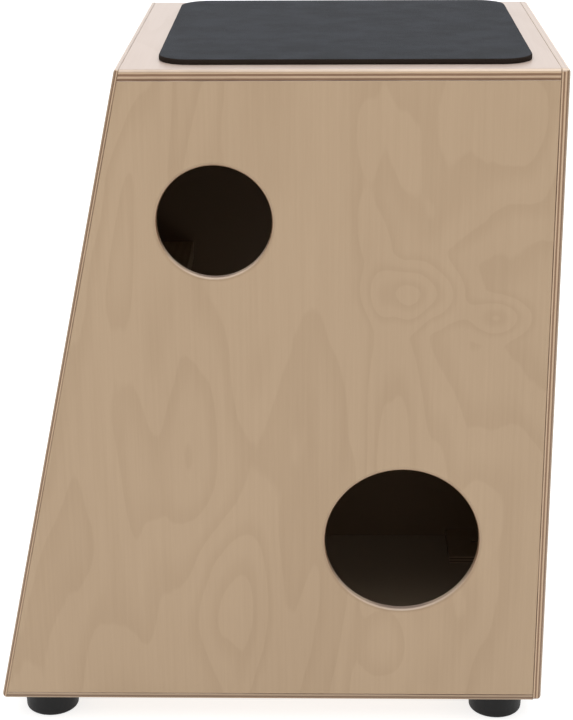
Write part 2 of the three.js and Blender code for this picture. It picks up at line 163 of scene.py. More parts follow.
class Material(NodeTree):
    """A procedural material."""

    def __init__(self, name):
        self.material = bpy.data.materials.new(name)
        self.material.use_nodes = True
        super().__init__(self.material.node_tree)
        self.shader = self.nodes["Principled BSDF"]
        self.place = self.nodes.new("ShaderNodeTexCoord").outputs["Object"]
        self.normal = self.nodes.new("ShaderNodeNewGeometry").outputs["Normal"]

    def swing(self, texture, amount):
        """A texture of 0 to 1 as a change of `amount` in all, half of it up and half down."""
        return self.multiply(self.subtract(texture, 0.5), amount)

    def from_base(self, texture, amount, base):
        """A texture of 0 to 1 as a value between base and base + amount."""
        return self.add(self.multiply(texture, amount), base)

    def clamped(self, value, low, high):
        return self.math("MINIMUM", self.math("MAXIMUM", value, low), high)

    def ramp(self, value, low, high, to_low=0.0, to_high=1.0):
        """A smooth step from to_low at `low` to to_high at `high`."""
        node = self.nodes.new("ShaderNodeMapRange")
        node.interpolation_type = "SMOOTHSTEP"
        for socket, number in zip(node.inputs, (value, low, high, to_low, to_high)):
            self.feed(socket, number)
        return node.outputs[0]

    def vector(self, x, y, z):
        node = self.nodes.new("ShaderNodeCombineXYZ")
        for socket, value in zip(node.inputs, (x, y, z)):
            self.feed(socket, value)
        return node.outputs[0]

    def vector_math(self, operation, vector, other=(0, 0, 0), output="Vector"):
        node = self.nodes.new("ShaderNodeVectorMath")
        node.operation = operation
        self.feed(node.inputs[0], vector)
        node.inputs[1].default_value = tuple(other)
        return node.outputs[output]

    def dot(self, vector, direction):
        return self.vector_math("DOT_PRODUCT", vector, direction, "Value")

    def facing(self, direction):
        """1 where the surface lies square to the direction, on either side, and 0 where it runs along it."""
        return self.math("ABSOLUTE", self.dot(self.normal, direction))

    def noise(self, vector, scale, detail=2.0, roughness=0.5, distortion=0.0):
        """Soft noise. Its scale, in cycles to the metre, is one for all three axes or one for each."""
        if isinstance(scale, tuple):
            vector = self.vector_math("MULTIPLY", vector, scale)
            scale = 1.0
        node = self.nodes.new("ShaderNodeTexNoise")
        self.feed(node.inputs["Vector"], vector)
        node.inputs["Scale"].default_value = scale
        node.inputs["Detail"].default_value = detail
        node.inputs["Roughness"].default_value = roughness
        node.inputs["Distortion"].default_value = distortion
        return node.outputs["Fac"]

    def pebbles(self, vector, scale):
        node = self.nodes.new("ShaderNodeTexVoronoi")
        node.feature = "SMOOTH_F1"
        self.feed(node.inputs["Vector"], vector)
        node.inputs["Scale"].default_value = scale
        return node.outputs["Distance"]

    def mix(self, factor, first, second):
        node = self.nodes.new("ShaderNodeMix")
        node.data_type = "RGBA"
        self.feed(node.inputs[0], factor)
        for socket, colour in ((node.inputs[6], first), (node.inputs[7], second)):
            self.feed(socket, colour if isinstance(colour, bpy.types.NodeSocket) else (*colour, 1))
        return node.outputs[2]

    def mix_vectors(self, factor, first, second):
        node = self.nodes.new("ShaderNodeMix")
        node.data_type = "VECTOR"
        for socket, value in ((node.inputs[0], factor), (node.inputs[4], first), (node.inputs[5], second)):
            self.feed(socket, value)
        return node.outputs[1]

    def attribute(self, name):
        node = self.nodes.new("ShaderNodeAttribute")
        node.attribute_name = name
        return node.outputs["Fac"]

    def bump(self, height, depth):
        """Relief `depth` metres high."""
        node = self.nodes.new("ShaderNodeBump")
        node.inputs["Distance"].default_value = depth
        self.feed(node.inputs["Height"], height)
        self.feed(self.shader.inputs["Normal"], node.outputs[0])

    def set(self, **values):
        """Shader inputs by name, with _ for a space."""
        for name, value in values.items():
            self.feed(self.shader.inputs[name.replace("_", " ")], value)


def srgb(red, green, blue):
    """An 8-bit sRGB colour as linear light."""
    parts = (red / 255, green / 255, blue / 255)
    return tuple(p / 12.92 if p <= 0.04045 else ((p + 0.055) / 1.055) ** 2.4 for p in parts)


# ---- wood

FACE_LIGHT = srgb(177, 151, 121)
FACE_DARK = srgb(156, 129, 98)
# The top's birch, paler and greyer than the sides': painted sheen of the overhead light on the same wood.
SEAT_SHEEN_LIGHT = srgb(192, 174, 163)
SEAT_SHEEN_DARK = srgb(179, 159, 146)
INSIDE_WOOD = srgb(146, 118, 88)
# Paler than the inside walls: painted light where the light through the large port falls on the floor inside.
INSIDE_FLOOR_LIT = srgb(184, 164, 140)
LONG_EDGE = srgb(190, 161, 131)
END_EDGE = srgb(124, 91, 62)
# Painted highlight on edges that face up
EDGE_HIGHLIGHT = srgb(230, 208, 186)
GLUE = srgb(74, 47, 29)
# Glue stains along the joints; the same colour is painted shade on the port walls and the top's lower plies
STAIN_AND_SHADE = srgb(88, 57, 34)
# Painted shade on the box's outer edges and the bottom's long edges
EDGE_SHADE_COLOUR = srgb(102, 85, 66)
PINE_LIGHT = srgb(222, 200, 172)
PINE_DARK = srgb(192, 166, 132)

# Amounts of each effect: the waver of a glue line in veneers, the figure's in rings, the others' of 0 to 1.
GLUE_WAVER = 0.22
ROLLING = 8.5
RIPPLE = 0.35
RING_SHADE = 0.22
STREAK_SHADE = 0.45
VESSEL_SHADE = 0.25
CLOUD_SHADE = 0.6
SPECKLE = 0.8
GLUE_SHADE = 0.45
# how strongly edges that face up take the painted highlight
EDGE_HIGHLIGHT_AMOUNT = 0.85
# how dark the painted shade on the outer edges is
EDGE_SHADE_AMOUNT = 0.55
FACE_BRIGHTNESS = 0.66
VENEER_RELIEF = 0.00006  # metres


def ring_figure(m, local, shifted, figures):
    """The cut rings of a peeled veneer: level lines of a gently rolling surface with a few mounds on it."""
    height = m.multiply(m.noise(shifted, (3.1, 9.5, 3.0), 2.0, 0.45, 0.4), ROLLING)
    for at_a, at_c, half_a, half_c, rise in figures:
        offset = m.vector_math("SUBTRACT", local, (at_a * MM, at_c * MM, 0))
        scaled = m.vector_math("MULTIPLY", offset, (1 / (half_a * MM), 1 / (half_c * MM), 0))
        distance = m.vector_math("LENGTH", scaled, output="Value")
        height = m.add(height, m.ramp(distance, 0.0, 1.0, rise, 0.0))
    ripple = m.noise(shifted, (14.0, 60.0, 60.0))
    saw = m.math("FRACT", m.add(height, m.multiply(ripple, RIPPLE)))
    return m.multiply(m.ramp(saw, 0.35, 0.93), m.ramp(saw, 0.93, 1.0, 1.0, 0.0))


def plywood(name, origin, along, across, outward, plies, ply, tones, seed, figures=(), inside=INSIDE_WOOD):
    """Rotary-cut birch plywood as a solid: veneers that alternate in grain direction under the face.

    origin is a point of the outer face in millimetres, along the face grain's direction, ply a veneer's
    thickness in millimetres. figures are (along, across, half length, half width, rise) of flame figures.
    """
    m = Material(name)
    a, c, out = (m.add(m.dot(m.place, axis), -origin.dot(axis) * MM) for axis in (along, across, outward))
    depth = m.multiply(out, -1.0)
    local = m.vector(a, c, depth)
    shifted = m.vector(m.add(a, seed * 3.7), m.add(c, seed * 1.3), depth)  # another part of the log

    # Which veneer this is, with slightly uneven glue lines between them.
    waver = m.swing(m.noise(shifted, 55.0, 3.0), GLUE_WAVER)
    level = m.add(m.math("DIVIDE", depth, ply * MM), waver)
    level = m.clamped(level, 0.001, plies - 0.001)
    crossed = m.math("MODULO", m.math("FLOOR", level), 2.0)
    from_middle = m.math("ABSOLUTE", m.subtract(m.math("FRACT", level), 0.5))
    within = m.math("LESS_THAN", m.math("ABSOLUTE", m.subtract(level, plies / 2)), plies / 2 - 0.3)
    glue = m.multiply(m.ramp(from_middle, 0.44, 0.495), within)

    # The faces: rings, fine streaks and vessels along the grain, clouds of warmer and paler wood.
    rings = ring_figure(m, local, shifted, figures)
    grain_space = m.mix_vectors(crossed, shifted, m.vector(c, a, depth))
    streaks = m.noise(grain_space, (9.0, 420.0, 420.0), 3.0, 0.55)
    vessels = m.noise(grain_space, (70.0, 2300.0, 2300.0), 2.0, 0.6)
    clouds = m.noise(shifted, (4.0, 11.0, 4.0), 3.0)
    tone = m.subtract(FACE_BRIGHTNESS, m.multiply(rings, RING_SHADE))
    for texture, amount in ((streaks, STREAK_SHADE), (vessels, VESSEL_SHADE), (clouds, CLOUD_SHADE)):
        tone = m.add(tone, m.swing(texture, amount))
    light, dark = tones
    face = m.mix(m.clamped(tone, 0.0, 1.0), dark, light)
    face = m.mix(m.ramp(level, plies - 0.5, plies - 0.2, 0.0, 0.9), face, inside)

    # The edges: end grain is darker than long grain, and what faces up is paler, a painted highlight of the
    # light from above.
    end_grain = m.add(
        m.multiply(m.facing(along), m.subtract(1.0, crossed)),
        m.multiply(m.facing(across), crossed),
    )
    end_amount = m.ramp(m.add(end_grain, m.swing(streaks, SPECKLE)), 0.2, 0.95)
    edge = m.mix(end_amount, LONG_EDGE, END_EDGE)
    edge = m.mix(m.multiply(glue, GLUE_SHADE), edge, GLUE)
    # Painted highlight: edges turned up towards the light are paler, the upward ones in the top's sheened
    # tone.
    upward = m.dot(m.normal, Z_AXIS)
    upward_highlight = m.ramp(upward, 0.15, 0.7, 0.0, EDGE_HIGHLIGHT_AMOUNT)
    highlight_tone = m.mix(m.ramp(upward, 0.86, 0.99), EDGE_HIGHLIGHT, SEAT_SHEEN_LIGHT)
    edge = m.mix(upward_highlight, edge, highlight_tone)
    on_edge = m.ramp(m.subtract(1.0, m.facing(outward)), 0.02, 0.3)
    colour = m.mix(on_edge, face, edge)

    # Glue stains along the joints, painted shade on the port walls and the top's lower plies, and painted
    # shade on the outer edges, where `mark_edges` puts them.
    patchy = m.ramp(m.noise(m.place, 23.0, 3.0, 0.6), 0.3, 0.62, 0.35, 1.0)
    # the glue stains, with the painted shade that mark_edges adds to the same mask
    colour = m.mix(m.multiply(m.attribute("seam_stain_and_shade"), patchy), colour, STAIN_AND_SHADE)
    # Painted shade on the outer edges, less where they face up
    painted_shade = m.multiply(m.attribute("edge_shade"), m.multiply(m.subtract(0.9, upward_highlight), EDGE_SHADE_AMOUNT))
    colour = m.mix(painted_shade, colour, EDGE_SHADE_COLOUR)

    m.bump(m.add(m.multiply(streaks, 0.5), m.multiply(vessels, 0.5)), VENEER_RELIEF)
    m.set(Base_Color=colour, Roughness=m.from_base(clouds, 0.16, 0.36), Coat_Weight=0.25, Coat_Roughness=0.28)
    return m.material


def timber(name, along, seed):
    """Planed softwood with straight growth rings."""
    m = Material(name)
    across = Y_AXIS if abs(along.dot(Y_AXIS)) < 0.5 else Z_AXIS
    third = along.cross(across).normalized()
    a = m.add(m.dot(m.place, along), seed * 2.1)
    c = m.add(m.dot(m.place, across), seed * 0.7)
    t = m.dot(m.place, third)
    local = m.vector(a, c, t)
    sway = m.multiply(m.noise(local, (6.0, 30.0, 30.0)), 3.0)
    rings = m.math("FRACT", m.add(m.multiply(c, 420.0), m.add(sway, m.multiply(t, 150.0))))
    fibre = m.noise(local, (20.0, 900.0, 900.0), 3.0)
    late_wood = m.multiply(m.ramp(rings, 0.3, 0.9), m.ramp(rings, 0.9, 1.0, 1.0, 0.0))
    tone = m.add(m.multiply(late_wood, 0.3), m.multiply(fibre, 0.5))
    end_grain = m.ramp(m.facing(along), 0.5, 0.9, 0.0, 0.45)
    colour = m.mix(end_grain, m.mix(tone, PINE_LIGHT, PINE_DARK), PINE_DARK)
    m.bump(fibre, 0.0001)
    m.set(Base_Color=colour, Roughness=m.from_base(fibre, 0.15, 0.6))
    return m.material


# ---- foam, rubber and steel

FOAM_SKIN = (srgb(43, 45, 48), srgb(57, 59, 64))
FOAM_CUT = srgb(44, 36, 31)
RUBBER = (srgb(6, 5, 6), srgb(13, 12, 12))  # clean, dusty
BLACK_OXIDE = (srgb(34, 33, 34), srgb(92, 90, 90))  # whole, worn
ZINC = (srgb(196, 198, 202), srgb(150, 152, 158))  # bright, dull
SPRING_STEEL = (srgb(205, 206, 208), srgb(168, 170, 174))


def foam():
    """Charcoal closed-cell foam with a fine pebbled skin; the cut edge shows its open cells, browner."""
    m = Material("seat_foam")
    pits = m.noise(m.place, 2600.0, 2.0, 0.6)
    wear = m.noise(m.place, (34.0, 44.0, 44.0), 4.0, 0.65)
    tone = m.add(m.multiply(m.ramp(wear, 0.3, 0.7), 0.75), m.multiply(pits, 0.4))
    on_top = m.ramp(m.dot(m.normal, Z_AXIS), 0.75, 0.99)
    colour = m.mix(on_top, FOAM_CUT, m.mix(tone, *FOAM_SKIN))
    pebbles = m.pebbles(m.place, 1150.0)
    m.bump(m.add(m.multiply(pebbles, 1.2), m.multiply(pits, 0.5)), 0.00035)
    m.set(Base_Color=colour, Roughness=m.from_base(wear, 0.12, 0.66), Specular_IOR_Level=0.05)
    return m.material


def rubber():
    """Moulded black rubber, a little dusty."""
    m = Material("black_rubber")
    dust = m.noise(m.place, 160.0, 4.0, 0.6)
    colour = m.mix(m.ramp(dust, 0.45, 0.8), *RUBBER)
    m.bump(m.noise(m.place, 2200.0), 0.00008)
    m.set(Base_Color=colour, Roughness=m.from_base(dust, 0.25, 0.42), Specular_IOR_Level=0.3)
    return m.material


def steel(name, tones, roughness):
    """Plated steel with fine scratches and a few dull spots."""
    m = Material(name)
    scratches = m.noise(m.place, (900.0, 4200.0, 900.0), 3.0, 0.6)
    spots = m.noise(m.place, 420.0, 3.0, 0.6)
    colour = m.mix(m.ramp(spots, 0.35, 0.75), *tones)
    m.bump(scratches, 0.00003)
    m.set(Base_Color=colour, Metallic=1.0, Roughness=m.from_base(scratches, 0.2, roughness))
    return m.material


def black_oxide():
    """Blackened screw steel, worn brighter in places."""
    m = Material("black_steel")
    spots = m.noise(m.place, 700.0, 3.0, 0.6)
    colour = m.mix(m.ramp(spots, 0.58, 0.8), *BLACK_OXIDE)
    m.bump(spots, 0.00004)
    m.set(Base_Color=colour, Metallic=0.85, Roughness=m.from_base(spots, 0.25, 0.3))
    return m.material


# ---- meshes


def evaluated(mesh, modifiers):
    """The mesh after modifiers, each given as (kind, settings)."""
    holder = bpy.data.objects.new("being_shaped", mesh)
    bpy.context.scene.collection.objects.link(holder)
    for kind, settings in modifiers:
        modifier = holder.modifiers.new(kind, kind)
        for key, value in settings.items():
            setattr(modifier, key, value)
    graph = bpy.context.evaluated_depsgraph_get()
    result = bpy.data.meshes.new_from_object(holder.evaluated_get(graph))
    bpy.data.objects.remove(holder)
    return result


def mesh_of(bm):
    mesh = bpy.data.meshes.new("mesh")
    bm.to_mesh(mesh)
    bm.free()
    return mesh


WEIGHTED_NORMALS = ("WEIGHTED_NORMAL", {"keep_sharp": True, "weight": 100})


def shade(mesh, sharp_degrees=38):
    mesh.polygons.foreach_set("use_smooth", [True] * len(mesh.polygons))
    mesh.set_sharp_from_angle(angle=math.radians(sharp_degrees))


def finished(name, mesh, node, material, slot, place=None):
    """A shown piece from a mesh in metres. It stands for a CAD node and rides on the body."""
    mesh.name = name
    mesh.materials.clear()
    mesh.materials.append(material)
    piece = bpy.data.objects.new(name, mesh)
    bpy.context.scene.collection.objects.link(piece)
    if place is not None:
        piece.matrix_world = place
    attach(piece, "root")
    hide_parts(node)
    return piece


def to_metres(mesh):
    mesh.transform(Matrix.Scale(MM, 4))
    mesh.update()
    return mesh


def inset(points, distance):
    """A convex polygon's corners, moved in by `distance` from every side."""
    centre = sum((Vector(p) for p in points), Vector((0, 0))) / len(points)
    lines = []
    for i, point in enumerate(points):
        start, end = Vector(point), Vector(points[(i + 1) % len(points)])
        normal = Vector((-(end - start).y, (end - start).x)).normalized()
        if normal.dot(centre - start) < 0:
            normal = -normal
        lines.append((normal, normal.dot(start) + distance))
    corners = []
    for i in range(len(points)):
        (n1, d1), (n2, d2) = lines[i - 1], lines[i]
        cross = n1.x * n2.y - n1.y * n2.x
        corners.append(((d1 * n2.y - d2 * n1.y) / cross, (n1.x * d2 - n2.x * d1) / cross))
    return corners


def ring(bm, points):
    return [bm.verts.new(p) for p in points]


def bridge(bm, first, second):
    count = len(first)
    for i in range(count):
        j = (i + 1) % count
        bm.faces.new((first[i], first[j], second[j], second[i]))


def cap(bm, place, outline, verts, hole_rings, depth):
    """Closes a face: one polygon, or a border and a filled middle when there are holes in it."""
    if not hole_rings:
        bm.faces.new(verts)
        return
    border = ring(bm, [place(a, c, depth) for a, c in inset(outline, HOLE_BORDER)])
    bridge(bm, verts, border)
    edges = []
    for loop in (border, *hole_rings):
        for i, vert in enumerate(loop):
            after = loop[(i + 1) % len(loop)]
            edges.append(bm.edges.get((vert, after)) or bm.edges.new((vert, after)))
    bmesh.ops.triangle_fill(bm, use_beauty=True, edges=edges)


def eased_slab(origin, along, across, outward, thick, outer, inner, eases, holes=()):
    """A slab whose outer and inner outlines have the same corners, with each edge rounded on its own.

    outer and inner are corners as (along, across). eases is (outer edges, inner edges, corner edges), a
    radius for each. holes are (along, across, profile, segments), with the profile as (radius, depth) from
    the outer face.
    """

    def place(a, c, depth):
        return origin + along * a + across * c - outward * depth

    bm = bmesh.new()
    outer_ring = ring(bm, [place(a, c, 0) for a, c in outer])
    inner_ring = ring(bm, [place(a, c, thick) for a, c in inner])
    bridge(bm, outer_ring, inner_ring)
    mouths, exits = [], []
    for at_a, at_c, profile, segments in holes:
        turns = [2 * math.pi * i / segments for i in range(segments)]
        rings = [
            ring(bm, [place(at_a + r * math.sin(t), at_c + r * math.cos(t), depth) for t in turns])
            for r, depth in profile
        ]
        for first, second in zip(rings, rings[1:]):
            bridge(bm, first, second)
        mouths.append(rings[0])
        exits.append(rings[-1])
    cap(bm, place, outer, outer_ring, mouths, 0)
    cap(bm, place, inner, inner_ring, exits, thick)

    widest = max(max(radii) for radii in eases)
    weights = bm.edges.layers.float.new("bevel_weight_edge")
    outer_eases, inner_eases, corner_eases = eases
    for i in range(len(outer)):
        j = (i + 1) % len(outer)
        bm.edges.get((outer_ring[i], outer_ring[j]))[weights] = outer_eases[i] / widest
        bm.edges.get((inner_ring[i], inner_ring[j]))[weights] = inner_eases[i] / widest
        bm.edges.get((outer_ring[i], inner_ring[i]))[weights] = corner_eases[i] / widest
    bmesh.ops.recalc_face_normals(bm, faces=bm.faces)
    rounding = {"limit_method": "WEIGHT", "width": widest, "segments": 5, "use_clamp_overlap": False}
    rounded = evaluated(mesh_of(bm), [("BEVEL", rounding)])
    shade(rounded)
    return evaluated(rounded, [WEIGHTED_NORMALS])


def lathed(profile, segments, closed=True):
    """A bmesh of a profile of (radius, height), turned round the Z axis."""
    bm = bmesh.new()
    turns = [2 * math.pi * i / segments for i in range(segments)]
    rings = []
    for radius, height in profile:
        if radius == 0:
            rings.append([bm.verts.new((0, 0, height))])
        else:
            rings.append(ring(bm, [(radius * math.cos(t), radius * math.sin(t), height) for t in turns]))
    pairs = list(zip(rings, rings[1:]))
    if closed:
        pairs.append((rings[-1], rings[0]))
    for first, second in pairs:
        if len(first) == 1 or len(second) == 1:
            tip, circle = (first, second) if len(first) == 1 else (second, first)
            for i in range(segments):
                bm.faces.new((tip[0], circle[i], circle[(i + 1) % segments]))
        else:
            bridge(bm, first, second)
    bmesh.ops.recalc_face_normals(bm, faces=bm.faces)
    return bm


def smoothed(mesh, sharp_degrees):
    """The mesh in metres, shaded smooth except at edges sharper than that."""
    shade(mesh, sharp_degrees)
    return to_metres(evaluated(mesh, [WEIGHTED_NORMALS]))


def arc(centre, radius, start, end, steps):
    """Points (radius, height) round a centre, from one angle to another, in degrees."""
    points = []
    for i in range(steps + 1):
        angle = math.radians(start + (end - start) * i / steps)
        points.append((centre[0] + radius * math.cos(angle), centre[1] + radius * math.sin(angle)))
    return points


# ---- panels


def nodes_named(prefix):
    return sorted(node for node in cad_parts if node.startswith(prefix))


def corners_of(node):
    """The lowest and highest corner of a CAD node's box, in millimetres."""
    return [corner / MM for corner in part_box(node)]


FACE_DISTANCE = OUT_OF_FACE.dot(Vector((FRONT_X, 0, BOTTOM_Z)))
SEAM_PLANES = [  # (normal, distance along it): where the panels meet
    (X_AXIS, BACK_X - SHELL_PLY),
    (Z_AXIS, TOP_Z - TOP_PLY),
    (Z_AXIS, BOTTOM_Z + BOTTOM_PLY),
    (OUT_OF_FACE, FACE_DISTANCE - PLAYING_PLY),
]
OUTSIDE_PLANES = [
    (X_AXIS, BACK_X),
    (Z_AXIS, TOP_Z),
    (-Z_AXIS, -BOTTOM_Z),
    (Y_AXIS, HALF_WIDTH),
    (-Y_AXIS, HALF_WIDTH),
    (OUT_OF_FACE, FACE_DISTANCE),
]
AT_PLANE = 0.05  # a point nearer than this lies on the plane
STAIN_DEPTH = 1.6  # how far into the joint the dark line can be seen
STAIN_FADE = 0.6  # part of the eased edge over which it fades
TOP_STAIN = 0.4  # the seams on the top are fainter
TOE_STAIN = 0.3  # and the seams fade towards the toe
UNDER_TOP_STAIN = 0.7
LOW_PLY_SHADE = 0.4  # painted shade: the top panel's edge darkens towards the seam under it
# painted shade inside the ports' mouths
PORT_WALL_SHADE = 0.35
EDGE_SHADE_START = 0.5  # how far inside an outer face the painted shade is whole, so that the face itself stays free of it
EDGE_SHADE_REACH = 2.2  # how far it goes from the box's outer edges
BOTTOM_EDGE_SHADE = 0.8  # painted shade all over the bottom panel's long edges


def mark_edges(mesh):
    """Marks what `plywood` darkens: glue along the joints, painted shade on the ports' walls and on the top's
    lower plies, and painted shade on the outer edges.

    A wide face's own points keep 0, so that no mark spreads over it. Only the underside has a marked rim.
    """
    points = np.array([vertex.co for vertex in mesh.vertices])
    x, y, height = points.T
    to_seam = np.min([np.abs(points @ np.array(n) - d) for n, d in SEAM_PLANES], axis=0)
    inside = np.sort([d - points @ np.array(n) for n, d in OUTSIDE_PLANES], axis=0)

    stain_and_shade = np.clip((1 - to_seam / SEAM_EASE) / STAIN_FADE, 0, 1) * (inside[0] < STAIN_DEPTH)
    over_top_seam = height - (TOP_Z - TOP_PLY)
    stain_and_shade[height > TOP_Z - 1] *= TOP_STAIN
    stain_and_shade[(height < BOTTOM_Z + 2 * BOTTOM_PLY) & (x < 0)] *= TOE_STAIN
    stain_and_shade[np.abs(over_top_seam) < SEAM_EASE] *= UNDER_TOP_STAIN
    # Painted shade on the top panel's outer edge, darker towards the seam under it.
    stain_and_shade[(np.abs(over_top_seam - SEAM_EASE) < AT_PLANE) & (inside[0] < AT_PLANE)] = LOW_PLY_SHADE
    # Painted shade inside the ports' mouths.
    for port in (SMALL_PORT, LARGE_PORT):
        off_axis = np.hypot(x - port["x"], height - port["z"])
        turned_in = np.clip((port["radius"] + PORT_RIM - off_axis) / PORT_RIM, 0, 1) * (y < 0)
        stain_and_shade = np.maximum(stain_and_shade, turned_in * PORT_WALL_SHADE)

    # Painted shade along the box's outer edges, whole on the bottom panel's long edges
    painted_shade = np.clip(inside[0] / EDGE_SHADE_START, 0, 1) * np.clip(2 - 2 * inside[1] / EDGE_SHADE_REACH, 0, 1)
    behind_face = points @ np.array(OUT_OF_FACE) < FACE_DISTANCE - PLAYING_PLY
    between_ends = behind_face & (x < BACK_X - SHELL_PLY)
    painted_shade[between_ends & (height < BOTTOM_Z + BOTTOM_PLY) & (inside[1] < BOTTOM_PLY)] = BOTTOM_EDGE_SHADE
    for name, values in (("seam_stain_and_shade", stain_and_shade), ("edge_shade", painted_shade)):
        mesh.attributes.new(name, "FLOAT", "POINT").data.foreach_set("value", values.astype(np.float32))


BIRCH = (FACE_LIGHT, FACE_DARK)
SEAT_BIRCH_SHEENED = (SEAT_SHEEN_LIGHT, SEAT_SHEEN_DARK)


def add_panel(node, face, thick, outer, inner, eases, plies, seed, holes=(), cross_grain=False, **look):
    """A plywood panel. Its face grain runs along the face's first axis, or along the second if crossed.

    look may hold the tones of the face, its figures and the colour inside the drum, as `plywood` takes them.
    """
    origin, along, across, outward = face
    mesh = eased_slab(origin, along, across, outward, thick, outer, inner, eases, holes)
    mark_edges(mesh)
    grain = (across, along) if cross_grain else (along, across)
    look.setdefault("tones", BIRCH)
    wood = plywood(f"birch_{node}", origin, *grain, outward, plies, thick / plies, seed=seed, **look)
    finished(f"finished_{node}", to_metres(mesh), node, wood, "birch_plywood")


def rectangle(a0, a1, c0, c1):
    """Corners whose edges are, in order: the c0 side, the a1 end, the c1 side and the a0 end."""
    return [(a0, c0), (a1, c0), (a1, c1), (a0, c1)]


FOOT_PLACES = [
    (node.removeprefix("rubber_foot_"), sum(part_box(node), Vector()) / 2 / MM)
    for node in nodes_named("rubber_foot_")
]
BACK_INNER = BACK_X - SHELL_PLY - CONTACT  # x where the panels in front of the back end


def front_inner(z):
    """x where the panels behind the playing panel begin, at height z above the floor."""
    return front_x(z, PLAYING_PLY) + CONTACT


def straight_hole(screw, depth):
    radius = screw["shank"] + CLEARANCE
    return [(radius, 0), (radius, depth)]


def add_top_panel():
    low = TOP_Z - TOP_PLY
    add_panel(
        "top_panel",
        (Vector((0, 0, TOP_Z)), X_AXIS, Y_AXIS, Z_AXIS),
        TOP_PLY,
        rectangle(front_inner(TOP_Z), BACK_INNER, -HALF_WIDTH, HALF_WIDTH),
        rectangle(front_inner(low), BACK_INNER, -HALF_WIDTH, HALF_WIDTH),
        (
            [OUTER_EASE, SEAM_EASE, OUTER_EASE, SEAM_EASE],
            [SEAM_EASE, INSIDE_EASE, SEAM_EASE, INSIDE_EASE],
            [SEAM_EASE] * 4,
        ),
        plies=5,
        seed=1.0,
        # paler, greyer tones for the top: painted sheen of the overhead light
        tones=SEAT_BIRCH_SHEENED,
        cross_grain=True,
    )


def add_bottom_panel():
    high = BOTTOM_Z + BOTTOM_PLY
    hole = straight_hole(FOOT_SCREW, BOTTOM_PLY)
    holes = [(at.x, at.y, hole, SCREW_HOLE_SEGMENTS) for _, at in FOOT_PLACES]
    add_panel(
        "bottom_panel",
        (Vector((0, 0, BOTTOM_Z)), X_AXIS, Y_AXIS, -Z_AXIS),
        BOTTOM_PLY,
        rectangle(front_inner(BOTTOM_Z), BACK_INNER, -HALF_WIDTH, HALF_WIDTH),
        rectangle(front_inner(high), BACK_INNER, -HALF_WIDTH, HALF_WIDTH),
        (
            [BOTTOM_EASE, SEAM_EASE, BOTTOM_EASE, 2 * SEAM_EASE],
            [SEAM_EASE, INSIDE_EASE, SEAM_EASE, INSIDE_EASE],
            [SEAM_EASE] * 4,
        ),
        plies=3,
        seed=2.0,
        holes=holes,
        # painted light on the inside floor
        inside=INSIDE_FLOOR_LIT,
    )


def add_back_panel():
    outline = rectangle(0, BODY_HEIGHT, -HALF_WIDTH, HALF_WIDTH)
    add_panel(
        "back_panel",
        (Vector((BACK_X, 0, BOTTOM_Z)), Z_AXIS, Y_AXIS, X_AXIS),
        SHELL_PLY,
        outline,
        outline,
        ([OUTER_EASE] * 4, [SEAM_EASE] * 4, [OUTER_EASE] * 4),
        plies=5,
        seed=3.0,
    )


def screw_places():
    """(along the face, across it) of every screw in the playing panel, with its node's name."""
    places = []
    to_face = Vector((FRONT_X, 0, BOTTOM_Z))
    for node in nodes_named("playing_screw_"):
        corners = [Vector(v.co) / MM - to_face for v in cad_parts[node].data.vertices]
        across = sum(v.y for v in corners) / len(corners)
        along = [v.dot(UP_FACE) for v in corners]
        places.append((node, (min(along) + max(along)) / 2, across))
    return places


SCREW_PLACES = screw_places()
COUNTERSINK = [
    (PANEL_SCREW["head"] + 0.25, 0),
    (PANEL_SCREW["head"] + 0.1, 0.35),
    (PANEL_SCREW["shank"] + 0.35, 2.4),
    (PANEL_SCREW["shank"] + 0.35, PLAYING_PLY),
]


def add_playing_panel():
    lean_shift = PLAYING_PLY * math.tan(LEAN)
    holes = [(a, c, COUNTERSINK, SCREW_HOLE_SEGMENTS) for _, a, c in SCREW_PLACES]
    add_panel(
        "playing_panel",
        (Vector((FRONT_X, 0, BOTTOM_Z)), UP_FACE, Y_AXIS, OUT_OF_FACE),
        PLAYING_PLY,
        rectangle(TOE_LIFT, PLAYING_LENGTH, -HALF_WIDTH, HALF_WIDTH),
        rectangle(lean_shift + TOE_TUCK, PLAYING_LENGTH + lean_shift, -HALF_WIDTH, HALF_WIDTH),
        (
            [FACE_EASE, CRISP_EASE, FACE_EASE, TOE_EASE],
            [INSIDE_EASE] * 4,
            [CRISP_EASE] * 4,
        ),
        plies=3,
        seed=4.0,
        holes=holes,
    )


def port_hole(port):
    rounding = [
        (port["radius"] + PORT_RIM - PORT_RIM * math.sin(t), PORT_RIM - PORT_RIM * math.cos(t))
        for t in (math.radians(90 * i / 6) for i in range(7))
    ]
    inner = [
        (port["radius"], SHELL_PLY - 0.5),
        (port["radius"] + 0.15, SHELL_PLY - 0.15),
        (port["radius"] + 0.5, SHELL_PLY),
    ]
    return (port["z"] - BOTTOM_Z, port["x"], rounding + inner, HOLE_SEGMENTS)


PORTED_SIDE_FIGURES = [  # the flames and eyes of the veneer beside the ports
    (185, -62, 150, 62, -2.6),
    (316, 104, 34, 56, 2.8),
    (299, 158, 22, 36, 2.2),
    (78, -20, 95, 46, 1.7),
    (52, 84, 60, 30, -1.5),
]


